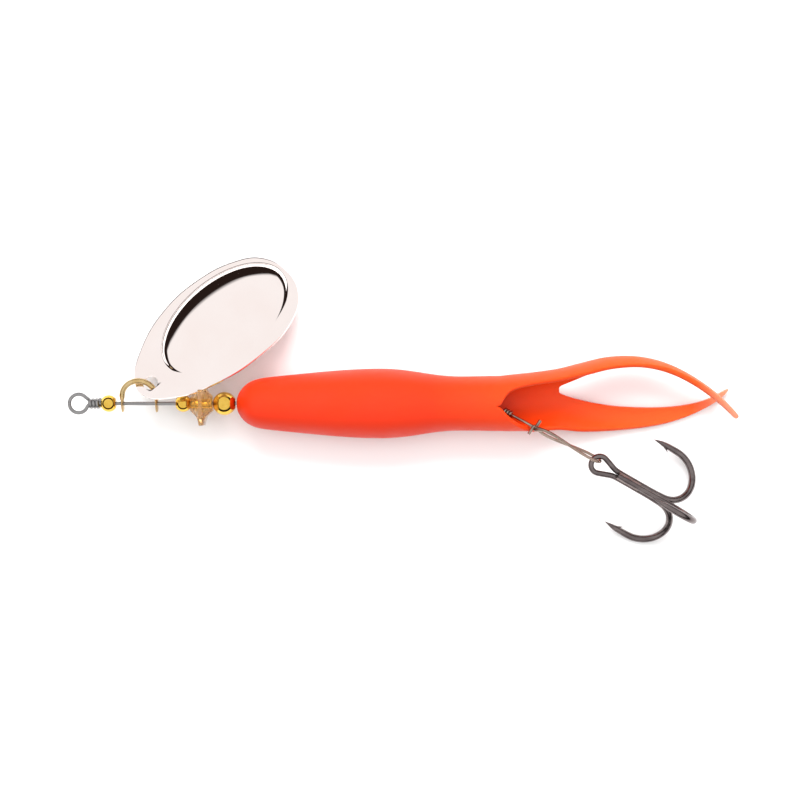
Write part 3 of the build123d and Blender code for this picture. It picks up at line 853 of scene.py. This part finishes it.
black_nickel = coated(
    "black_nickel", ((0.13, 0.105, 0.105), (0.25, 0.21, 0.205)), 1, (0.16, 0.30), 600, stretch=(0.4, 1, 1)
)
finish_hook("treble_double_bent", double_stations, (-SIDE_TURN, SIDE_TURN), "treble_double_hook")
third_stations = [(on_treble(SHANK_START + 0.1, THIRD_SHANK, 0), 0.9)] + hook_side(0, THIRD_SHANK)
finish_hook("treble_third_bent", third_stations, (0,), "treble_third_hook")
braze_finish = coated("plated_braze", ((0.22, 0.16, 0.15), (0.42, 0.34, 0.31)), 1, (0.3, 0.5), 900, bump=0.5)
paint(nodes["treble_braze"], braze_finish)


# ---- floor, light and camera --------------------------------------------------------------------------
# A pale table under two soft lamps, seen from straight above. The room is white overhead and dark low
# down, which bright metal mirrors. The lamps don't show in the metal, and behind the table the camera
# sees a plain pale wall in place of the dark part.
VIEW_HEIGHT = 330.0
VIEW_WIDTH = 160.0
VIEW_MIDDLE = (64.26, 0.7)
FILM_WIDTH = 36
DARK_WALL_TOP = 0.40
DARK_WALL_BLEND = 0.03
PALE_WALL = (0.9, 0.9, 0.9, 1)

bpy.ops.object.select_all(action="DESELECT")
bpy.ops.mesh.primitive_plane_add(size=6, location=(0.06, 0, cad_box[0][2]))
table_top = bpy.context.object
table_top.name = "table_top"
table_paint = bpy.data.materials.new("table_paint")
table_paint.use_nodes = True
table_shader = table_paint.node_tree.nodes["Principled BSDF"]
table_shader.inputs["Base Color"].default_value = (0.93, 0.93, 0.93, 1)
table_shader.inputs["Roughness"].default_value = 0.8
paint(table_top, table_paint)


def soft_lamp(name, place, size, power, aim):
    bpy.ops.object.select_all(action="DESELECT")
    bpy.ops.object.light_add(type="AREA", location=place)
    lamp = bpy.context.object
    lamp.name = name
    lamp.data.shape = "SQUARE"
    lamp.data.size = size
    lamp.data.energy = power
    lamp.visible_glossy = False
    lamp.rotation_euler = (Vector(aim) - Vector(place)).to_track_quat("-Z", "Y").to_euler()
    return lamp


soft_lamp("back_softbox", (0.05, 0.45, 0.42), 0.4, 4.2, (0.06, 0, 0))
soft_lamp("top_softbox", (0.02, 0.05, 0.75), 0.6, 2.0, (0.06, 0, 0))

sky = bpy.data.worlds.new("studio")
sky.use_nodes = True
sky_tree = sky.node_tree
sky_way = sky_tree.nodes.new("ShaderNodeTexCoord")
sky_parts = sky_tree.nodes.new("ShaderNodeSeparateXYZ")
sky_tree.links.new(sky_way.outputs["Generated"], sky_parts.inputs["Vector"])
sky_ramp = sky_tree.nodes.new("ShaderNodeValToRGB")
sky_ramp.color_ramp.elements[0].position = DARK_WALL_TOP - DARK_WALL_BLEND
sky_ramp.color_ramp.elements[0].color = (0.02, 0.012, 0.01, 1)
sky_ramp.color_ramp.elements[1].position = DARK_WALL_TOP + DARK_WALL_BLEND
sky_ramp.color_ramp.elements[1].color = (1, 1, 1, 1)
sky_tree.links.new(sky_parts.outputs["Z"], sky_ramp.inputs["Fac"])
seen = sky_tree.nodes.new("ShaderNodeLightPath")
backdrop = sky_tree.nodes.new("ShaderNodeMix")
backdrop.data_type = "RGBA"
sky_tree.links.new(seen.outputs["Is Camera Ray"], backdrop.inputs["Factor"])
sky_tree.links.new(sky_ramp.outputs["Color"], backdrop.inputs[MIX_COLOUR_A])
backdrop.inputs[MIX_COLOUR_B].default_value = PALE_WALL
sky_tree.links.new(backdrop.outputs[MIX_COLOUR_OUT], sky_tree.nodes["Background"].inputs["Color"])
bpy.context.scene.world = sky
bpy.context.scene.view_settings.view_transform = "Standard"

bpy.ops.object.camera_add(location=(VIEW_MIDDLE[0] * MM, VIEW_MIDDLE[1] * MM, VIEW_HEIGHT * MM))
camera = bpy.context.object
camera.name = "camera"
camera.rotation_euler = (0, 0, 0)
camera.data.sensor_width = FILM_WIDTH
camera.data.lens = FILM_WIDTH * VIEW_HEIGHT / VIEW_WIDTH
camera.data.clip_start = 0.01
bpy.context.scene.camera = camera
